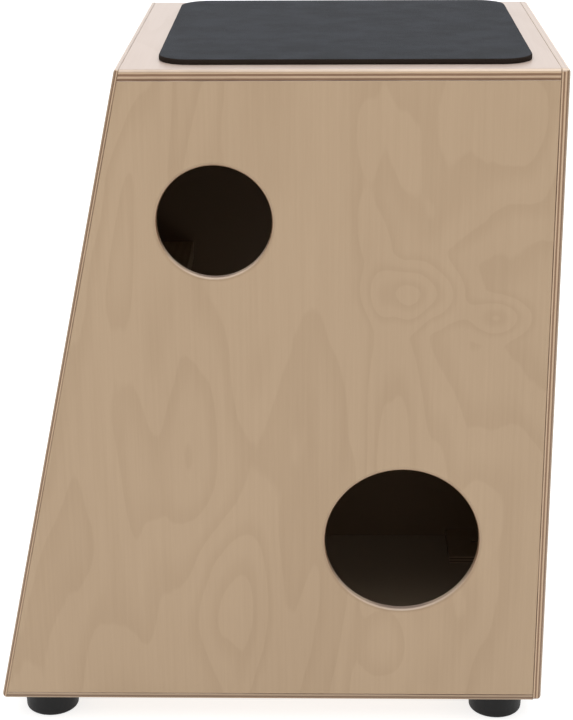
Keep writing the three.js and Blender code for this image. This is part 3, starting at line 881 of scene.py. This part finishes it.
def add_side_panel(node, side, seed, holes=(), figures=()):
    low = BOTTOM_Z + BOTTOM_PLY + CONTACT
    high = TOP_Z - TOP_PLY - CONTACT
    outline = [
        (low - BOTTOM_Z, front_inner(low)),
        (high - BOTTOM_Z, front_inner(high)),
        (high - BOTTOM_Z, BACK_INNER),
        (low - BOTTOM_Z, BACK_INNER),
    ]
    add_panel(
        node,
        (Vector((0, side * HALF_WIDTH, BOTTOM_Z)), Z_AXIS, X_AXIS, Y_AXIS * side),
        SHELL_PLY,
        outline,
        outline,
        ([SIDE_EASE] * 4, [INSIDE_EASE] * 4, [INSIDE_EASE] * 4),
        plies=5,
        seed=seed,
        holes=holes,
        figures=figures,
    )


# ---- inside


def add_prism(node, outline, low_y, high_y, material, ease=0.6):
    """A strip or block: corners as (z, x) above the floor, from one width to another, all edges eased."""
    eases = ([ease] * len(outline),) * 3
    mesh = eased_slab(Vector((0, low_y, 0)), Z_AXIS, X_AXIS, -Y_AXIS, high_y - low_y, outline, outline, eases)
    finished(f"finished_{node}", to_metres(mesh), node, material, "softwood")


def add_battens():
    behind = PLAYING_PLY + GLUE_LINE
    for node in nodes_named("batten_"):
        low, high = corners_of(node)
        outline = [(z, front_x(z, behind)) for z in (low.z, high.z)]
        outline += [(z, front_x(z, behind + BATTEN)) for z in (high.z, low.z)]
        upright = high.z - low.z > high.y - low.y
        wood = timber(f"pine_{node}", UP_FACE if upright else Y_AXIS, len(node))
        add_prism(node, outline, low.y, high.y, wood)


def add_corner_plates():
    """Plywood plates over the feet. The front ones' edge towards the playing panel is cut to its slope."""
    for number, (where, foot) in enumerate(FOOT_PLACES):
        node = f"corner_plate_{where}"
        low, high = corners_of(node)
        front_low = front_high = low.x
        if foot.x < 0:
            inset_by = PLAYING_PLY + 2 * GLUE_LINE + BATTEN
            front_low, front_high = front_x(low.z, inset_by), front_x(high.z, inset_by)
        thick = high.z - low.z
        origin = Vector((0, 0, high.z))
        hole = (foot.x, foot.y, straight_hole(FOOT_SCREW, thick), SCREW_HOLE_SEGMENTS)
        add_panel(
            node,
            (origin, X_AXIS, Y_AXIS, Z_AXIS),
            thick,
            rectangle(front_high, high.x, low.y, high.y),
            rectangle(front_low, high.x, low.y, high.y),
            ([SEAM_EASE] * 4, [INSIDE_EASE] * 4, [INSIDE_EASE] * 4),
            plies=5,
            seed=7.0 + number,
            holes=[hole],
        )


def add_snare_beam():
    low, high = corners_of("snare_beam")
    outline = [(low.z, low.x), (high.z, low.x), (high.z, high.x), (low.z, high.x)]
    wood = timber("pine_snare_beam", Y_AXIS, 9)
    add_prism("snare_beam", outline, low.y, high.y, wood, 1.0)


def snare_route(steps):
    """A snare wire's line in the XZ plane: straight up from the plate, then against the playing panel."""
    start = BEAM["front"] - GLUE_LINE - SNARE_PLATE["thick"]
    foot = BEAM["top"] - BEAM["thick"] / 2 - STRANDS["below_middle"]
    reach = STRANDS["height"]

    def touching(z):
        return front_x(z, PLAYING_PLY + GLUE_LINE + STRANDS["radius"] + TIP_GAP)

    bend = foot + reach * BEND_PART
    points = np.array([
        (start, foot),
        (start - RISE_LEAN, foot + reach * RISE_PART),
        (touching(bend) + BEND_SLACK, bend),
        (touching(foot + reach), foot + reach),
    ])
    ends = [2 * points[0] - points[1], *points, 2 * points[-1] - points[-2]]
    route = []
    for i in range(steps + 1):
        along = 3 * i / steps
        part = min(int(along), 2)
        t = along - part
        p0, p1, p2, p3 = ends[part : part + 4]
        route.append(
            0.5 * (2 * p1 + (p2 - p0) * t + (2 * p0 - 5 * p1 + 4 * p2 - p3) * t * t
                   + (3 * p1 - p0 - 3 * p2 + p3) * t**3)
        )
    return route


COIL_PITCH = 2.0
COIL_STEPS = 7
WIRE_RADIUS = 0.26
WIRE_SIDES = 4


def coil(bm, y):
    """One coiled snare wire as a bent helix with capped ends."""
    turns = STRANDS["height"] / COIL_PITCH
    steps = int(turns * COIL_STEPS)
    route = snare_route(steps)
    radius = STRANDS["radius"] - WIRE_RADIUS
    centres = []
    for i, at in enumerate(route):
        ahead, behind = route[min(i + 1, steps)], route[max(i - 1, 0)]
        tangent = (ahead - behind) / np.linalg.norm(ahead - behind)
        sideways = Vector((tangent[1], 0, -tangent[0]))
        angle = 2 * math.pi * i / COIL_STEPS
        radial = sideways * math.cos(angle) + Y_AXIS * math.sin(angle)
        centres.append((Vector((at[0], y, at[1])) + radial * radius, radial))
    rings = []
    for i, (centre, radial) in enumerate(centres):
        ahead, behind = centres[min(i + 1, steps)][0], centres[max(i - 1, 0)][0]
        tangent = (ahead - behind).normalized()
        other = tangent.cross(radial).normalized()
        rings.append(
            ring(bm, [
                centre + (radial * math.cos(t) + other * math.sin(t)) * WIRE_RADIUS
                for t in (2 * math.pi * k / WIRE_SIDES for k in range(WIRE_SIDES))
            ])
        )
    for first, second in zip(rings, rings[1:]):
        bridge(bm, first, second)
    bm.faces.new(rings[0])
    bm.faces.new(rings[-1])


def add_snares(spring_steel):
    plate = SNARE_PLATE
    rear = BEAM["front"] - GLUE_LINE
    middle = BEAM["top"] - BEAM["thick"] / 2
    for name, y in (("port_side", -SNARE_CENTRE), ("plain_side", SNARE_CENTRE)):
        half = plate["width"] / 2
        face = (Vector((rear - plate["thick"], y, middle)), Y_AXIS, Z_AXIS, -X_AXIS)
        outline = rectangle(-half, half, -plate["height"] / 2, plate["height"] / 2)
        screw_hole = straight_hole(SNARE_SCREW, plate["thick"])
        off_centre = half - plate["end_to_screw"]
        holes = [(at, 0, screw_hole, SCREW_HOLE_SEGMENTS) for at in (-off_centre, off_centre)]
        mesh = eased_slab(*face, plate["thick"], outline, outline, ([0.25] * 4, [0.25] * 4, [0.8] * 4), holes)
        bm = bmesh.new()
        bm.from_mesh(mesh)
        first = y - STRANDS["pitch"] * (STRANDS["count"] - 1) / 2
        for i in range(STRANDS["count"]):
            coil(bm, first + STRANDS["pitch"] * i)
        bmesh.ops.recalc_face_normals(bm, faces=bm.faces)
        joined = mesh_of(bm)
        shade(joined, 60)
        node = f"snare_set_{name}"
        finished(f"finished_{node}", to_metres(joined), node, spring_steel, "spring_steel")


# ---- screws


def cross_recess(top, span, deep):
    """A tapering cross-shaped cutter that reaches `deep` below `top`."""
    bm = bmesh.new()
    for turn in (0, math.pi / 2):
        spin = Matrix.Rotation(turn, 3, "Z")
        rings = []
        for height, half_span, half_width in (
            (top + 1, span / 2, 0.5),
            (top, span / 2, 0.46),
            (top - deep, span * 0.22, 0.26),
        ):
            corners = [(-1, -1), (1, -1), (1, 1), (-1, 1)]
            points = [spin @ Vector((i * half_span, j * half_width, height)) for i, j in corners]
            rings.append(ring(bm, points))
        for first, second in zip(rings, rings[1:]):
            bridge(bm, first, second)
        bm.faces.new(rings[0])
        bm.faces.new(rings[-1])
    bmesh.ops.recalc_face_normals(bm, faces=bm.faces)
    return mesh_of(bm)


def with_cross(bm, top, span, deep):
    """The screw with a cross recess cut into its head, in metres."""
    cutter = bpy.data.objects.new("cutter", cross_recess(top, span, deep))
    bpy.context.scene.collection.objects.link(cutter)
    cutting = {"operation": "DIFFERENCE", "solver": "EXACT", "use_self": True, "object": cutter}
    mesh = evaluated(mesh_of(bm), [("BOOLEAN", cutting)])
    bpy.data.objects.remove(cutter)
    return smoothed(mesh, 30)


def countersunk_screw():
    """Head flush with z = 0, shank downwards."""
    head, shank, length = PANEL_SCREW.values()
    profile = [
        (0, 0),
        (head - 0.15, 0),
        (head, -0.12),
        (head, -0.3),
        (shank, -2.3),
        (shank, 1.5 - length),
        (0, -length),
    ]
    return with_cross(lathed(profile, 48, closed=False), 0.0, 4.2, 1.7)


def pan_screw(head, head_height, shank, length):
    """Underside of the head at z = 0, head upwards, shank downwards."""
    crown = arc((head - SCREW_CROWN, head_height - SCREW_CROWN), SCREW_CROWN, 0, 90, 5)
    profile = [
        (0, head_height),
        *reversed(crown),
        (head, 0.1),
        (head - 0.1, 0),
        (shank, 0),
        (shank, SCREW_TIP - length),
        (0, -length),
    ]
    return with_cross(lathed(profile, 48, closed=False), head_height, head * 1.15, head_height * 0.55)


def add_playing_screws(material):
    mesh = countersunk_screw()
    turn = Matrix((-Y_AXIS, UP_FACE, OUT_OF_FACE)).transposed()
    for number, (node, along, across) in enumerate(SCREW_PLACES):
        at = Vector((FRONT_X, across, BOTTOM_Z)) + UP_FACE * along - OUT_OF_FACE * 0.12
        spin = Matrix.Rotation(number * 2.4, 3, "Z")  # no two are driven home at the same angle
        place = Matrix.Translation(at * MM) @ (turn @ spin).to_4x4()
        finished(f"finished_{node}", mesh, node, material, "black_steel", place)


def add_snare_screws(material):
    mesh = pan_screw(**SNARE_SCREW)
    faces_front = Matrix.Rotation(-math.pi / 2, 3, "Y")
    under_head = BEAM["front"] - 2 * GLUE_LINE - SNARE_PLATE["thick"]
    for number, node in enumerate(nodes_named("snare_screw_")):
        low, high = corners_of(node)
        at = Vector((under_head, (low.y + high.y) / 2, (low.z + high.z) / 2))
        spin = Matrix.Rotation(number * 1.9, 3, "Z")
        place = Matrix.Translation(at * MM) @ (faces_front @ spin).to_4x4()
        finished(f"finished_{node}", mesh, node, material, "zinc_steel", place)


# ---- feet

FOOT_TOP = FOOT_HEIGHT - GLUE_LINE


def foot_mesh():
    low_radius = FOOT_RADIUS - 0.8
    hole = FOOT_SCREW["shank"] + CLEARANCE
    profile = [
        (hole, WASHER_TOP + GLUE_LINE),
        (6.6, WASHER_TOP + GLUE_LINE),
        *arc((7.6, 1.0), 1.0, 180, 270, 4),
        *arc((low_radius - 2.4, 2.4), 2.4, -90, 0, 8),
        *arc((FOOT_RADIUS - 1.0, FOOT_TOP - 1.0), 1.0, 0, 90, 5),
        (hole, FOOT_TOP),
    ]
    return smoothed(mesh_of(lathed(profile, 96)), 40)


def washer_mesh():
    low = WASHER_TOP - WASHER_THICK
    hole, radius = 2.6, 6.0
    profile = [
        (hole, low + 0.1),
        (hole + 0.1, low),
        (radius - 0.2, low),
        (radius, low + 0.2),
        (radius, WASHER_TOP - 0.1),
        (radius - 0.1, WASHER_TOP),
        (hole, WASHER_TOP),
    ]
    return smoothed(mesh_of(lathed(profile, 64)), 30)


def add_feet(rubber_look, zinc):
    foot, washer, screw = foot_mesh(), washer_mesh(), pan_screw(**FOOT_SCREW)
    head_down = Matrix.Rotation(math.pi, 3, "X")
    for number, (where, centre) in enumerate(FOOT_PLACES):
        at = Vector((centre.x, centre.y, 0))
        spin = Matrix.Rotation(number * 2.0, 3, "Z")
        stand = Matrix.Translation(at * MM)
        under_head = at + Z_AXIS * (WASHER_TOP - WASHER_THICK - GLUE_LINE)
        screwed_in = Matrix.Translation(under_head * MM) @ (head_down @ spin).to_4x4()
        for kind, mesh, material, slot, place in (
            ("rubber_foot", foot, rubber_look, "black_rubber", stand),
            ("foot_washer", washer, zinc, "zinc_steel", stand),
            ("foot_screw", screw, zinc, "zinc_steel", screwed_in),
        ):
            finished(f"finished_{kind}_{where}", mesh, f"{kind}_{where}", material, slot, place)


# ---- seat pad


PAD_STEP = 9.0  # between points along the pad's sides
CORNER_STEPS = 10


def rounded_outline(length, width, radius):
    """Points of a rectangle with round corners, with the same number of points at every size."""
    half_x, half_y = length / 2 - radius, width / 2 - radius
    sides_x, sides_y = round(PAD["length"] / PAD_STEP), round(PAD["width"] / PAD_STEP)
    points = []
    for quarter, (sx, sy) in enumerate(((1, 1), (-1, 1), (-1, -1), (1, -1))):
        for i in range(CORNER_STEPS + 1):
            angle = math.radians(90 * quarter + 90 * i / CORNER_STEPS)
            points.append((sx * half_x + radius * math.cos(angle), sy * half_y + radius * math.sin(angle)))
        count = sides_x if quarter % 2 == 0 else sides_y
        start = points[-1]
        after = ((-sx * half_x, start[1]) if quarter % 2 == 0 else (start[0], -sy * half_y))
        for i in range(1, count):
            points.append(tuple(p + (q - p) * i / count for p, q in zip(start, after)))
    return points


PAD_CONTACT = 0.05  # left between the pad and the top
PAD_EDGE_END = 0.45  # how far in its rounded edge goes
PAD_CROWN = 0.16
PAD_UNEVEN = 0.10
PAD_WOBBLE = 0.001  # of its outline, as a part of its distance from the middle


def add_seat_pad(material):
    """A thin foam sheet: pressed edges, a very slight crown, and the unevenness of foam glued by hand."""
    length, width = PAD["length"], PAD["width"]
    base = TOP_Z + PAD_CONTACT
    thick = PAD["thick"] + GLUE_LINE - PAD_CONTACT
    # (distance in from the outline, height over the base)
    edge = [(0.35, 0.0), (0.05, 0.3), (0.0, 0.9), (0.0, thick - 1.2)]
    edge += [(0.12, thick - 0.6), (PAD_EDGE_END, thick - 0.22)]
    inner = [(1.0, thick - 0.12), (2.4, thick - 0.08), (6.0, thick - 0.04)]
    far = [(d, thick) for d in np.linspace(12.0, width / 2 - 8, 11)]
    bm = bmesh.new()
    rings = []
    for distance, height in edge + inner + far:
        radius = max(PAD["corner"] - distance, 1.5)
        points = []
        for x, y in rounded_outline(length - 2 * distance, width - 2 * distance, radius):
            lift, wobble = 0.0, 0.0
            if distance > PAD_EDGE_END:
                crown = min(distance, 45.0) / 45.0 * PAD_CROWN
                uneven = PAD_UNEVEN * noise.noise(Vector((x / 34, y / 34, 0.3)))
                lift = crown + uneven * min(distance / 8, 1)
            else:
                wobble = PAD_WOBBLE * noise.noise(Vector((x / 11, y / 11, 5.1)))
            scale = 1 + wobble
            points.append((x * scale + PAD["x"], y * scale, base + height + lift))
        rings.append(ring(bm, points))
    for first, second in zip(rings, rings[1:]):
        bridge(bm, first, second)
    bm.faces.new(rings[0])
    bm.faces.new(rings[-1])
    bmesh.ops.recalc_face_normals(bm, faces=bm.faces)
    mesh = mesh_of(bm)
    shade(mesh, 50)
    pad = finished("finished_seat_pad", to_metres(mesh), "seat_pad", material, "seat_foam")


# ---- stage

FLOOR_SIZE = 60.0
FLOOR_DROP = 0.0002  # keeps the feet and the floor apart
FLOOR_GREY = 0.44
FLOOR_GLOW = 0.78  # makes the floor as white as the background


def add_floor():
    bm = bmesh.new()
    half = FLOOR_SIZE / 2
    bm.faces.new(ring(bm, [(x, y, 0) for x, y in rectangle(-half, half, -half, half)]))
    floor = bpy.data.objects.new("studio_floor", mesh_of(bm))
    floor.location.z = -FLOOR_DROP
    bpy.context.scene.collection.objects.link(floor)
    m = Material("studio_floor")
    m.set(Base_Color=(FLOOR_GREY,) * 3 + (1,), Roughness=0.9, Specular_IOR_Level=0.2)
    m.set(Emission_Color=(1, 1, 1, 1), Emission_Strength=FLOOR_GLOW)
    floor.data.materials.append(m.material)


SKY_HORIZON = 0.36
SKY_ZENITH = 1.3  # added straight above
SKY_SIDES = 0.65  # how much darker it is towards the object's two ends
SKY_BACK = 0.9  # added level with the drum, behind its plain side


def add_sky():
    """A studio dome: brighter overhead and behind the drum, dimmer towards its two ends."""
    world = bpy.data.worlds.new("studio")
    bpy.context.scene.world = world
    world.use_nodes = True
    sky = NodeTree(world.node_tree)
    split = sky.nodes.new("ShaderNodeSeparateXYZ")
    sky.feed(split.inputs[0], sky.nodes.new("ShaderNodeTexCoord").outputs["Generated"])
    x, y, z = split.outputs
    overhead = sky.math("POWER", sky.math("MAXIMUM", z, 0.0), 2.0)
    strength = sky.math("MULTIPLY_ADD", overhead, SKY_ZENITH, SKY_HORIZON)
    strength = sky.math("MULTIPLY_ADD", sky.math("MAXIMUM", y, 0.0), SKY_BACK, strength)
    dimming = sky.math("MULTIPLY_ADD", sky.multiply(x, x), -SKY_SIDES, 1.0)
    background = sky.nodes["Background"]
    sky.feed(background.inputs["Strength"], sky.multiply(strength, dimming))
    sky.feed(background.inputs["Color"], (1, 1, 1, 1))


SOFTBOX_PLACE = Vector((0.0, -1.3, 2.6))
SOFTBOX_AIM = Vector((0, 0, 0.25))
SOFTBOX_SIZE = 2.2
SOFTBOX_POWER = 24.0


def add_softbox():
    light = bpy.data.lights.new("softbox_above", "AREA")
    light.shape = "SQUARE"
    light.size = SOFTBOX_SIZE
    light.energy = SOFTBOX_POWER
    box = bpy.data.objects.new("softbox_above", light)
    box.location = SOFTBOX_PLACE
    box.rotation_mode = "QUATERNION"
    box.rotation_quaternion = (SOFTBOX_AIM - SOFTBOX_PLACE).to_track_quat("-Z", "Y")
    bpy.context.scene.collection.objects.link(box)


CAMERA_PLACE = (0.0406, -1.3043, 0.7208)
CAMERA_PITCH = 20.254  # degrees down
CAMERA_YAW = -1.324  # degrees, towards -X
CAMERA_ROLL = -0.403
CAMERA_LENS = 113.25


def add_camera():
    pitch, yaw, roll = (math.radians(a) for a in (CAMERA_PITCH, CAMERA_YAW, CAMERA_ROLL))
    ahead = Vector((math.sin(yaw) * math.cos(pitch), math.cos(yaw) * math.cos(pitch), -math.sin(pitch)))
    right = Vector((math.cos(yaw), -math.sin(yaw), 0))
    up = right.cross(ahead)
    right, up = right * math.cos(roll) + up * math.sin(roll), up * math.cos(roll) - right * math.sin(roll)
    data = bpy.data.cameras.new("camera")
    data.sensor_fit = "HORIZONTAL"
    data.sensor_width = 36.0
    data.lens = CAMERA_LENS
    camera = bpy.data.objects.new("camera", data)
    turn = Matrix((right, up, -ahead)).transposed()
    camera.matrix_world = Matrix.Translation(CAMERA_PLACE) @ turn.to_4x4()
    bpy.context.scene.collection.objects.link(camera)
    bpy.context.scene.camera = camera


# ---- the drum

add_camera()
add_top_panel()
add_bottom_panel()
add_back_panel()
add_playing_panel()
PORT_HOLES = [port_hole(SMALL_PORT), port_hole(LARGE_PORT)]
add_side_panel("ported_side_panel", -1, 5.0, PORT_HOLES, PORTED_SIDE_FIGURES)
add_side_panel("plain_side_panel", 1, 6.0)
add_battens()
add_corner_plates()
add_snare_beam()

zinc_steel = steel("zinc_steel", ZINC, 0.28)
add_snares(steel("spring_steel", SPRING_STEEL, 0.2))
add_playing_screws(black_oxide())
add_snare_screws(zinc_steel)
add_feet(rubber(), zinc_steel)
add_seat_pad(foam())

add_floor()
add_sky()
add_softbox()
bpy.context.scene.view_settings.view_transform = "Standard"
